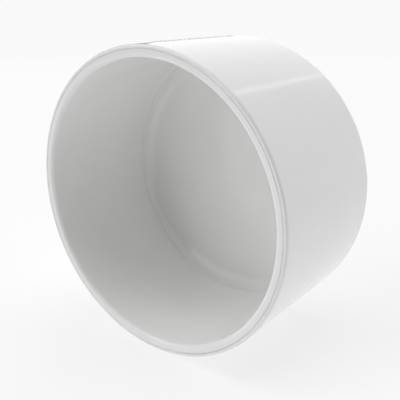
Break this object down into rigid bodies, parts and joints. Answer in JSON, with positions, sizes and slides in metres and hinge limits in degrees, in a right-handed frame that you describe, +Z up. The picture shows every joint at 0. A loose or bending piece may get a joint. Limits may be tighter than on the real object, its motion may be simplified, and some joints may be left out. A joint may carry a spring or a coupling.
{
  "type": "pipe cap",
  "caption": "Round one-piece plastic slip cap: a smooth socket with a pipe stop, a thick plain wall and a flat closed end, glued over the end of a pipe.",
  "frame": {"origin": "on the cap's axis at the bottom of the socket, where the end of the pipe stops", "axes": "+Y along the axis from the open mouth to the closed end; +Z up, with the cap lying on its side"},
  "size_m": [0.1244, 0.0689, 0.1247],
  "materials": {
    "white_pvc": "injection moulded, glossy"
  },
  "bodies": {
    "root": {"cap_body": "white_pvc"}
  },
  "joints": []
}
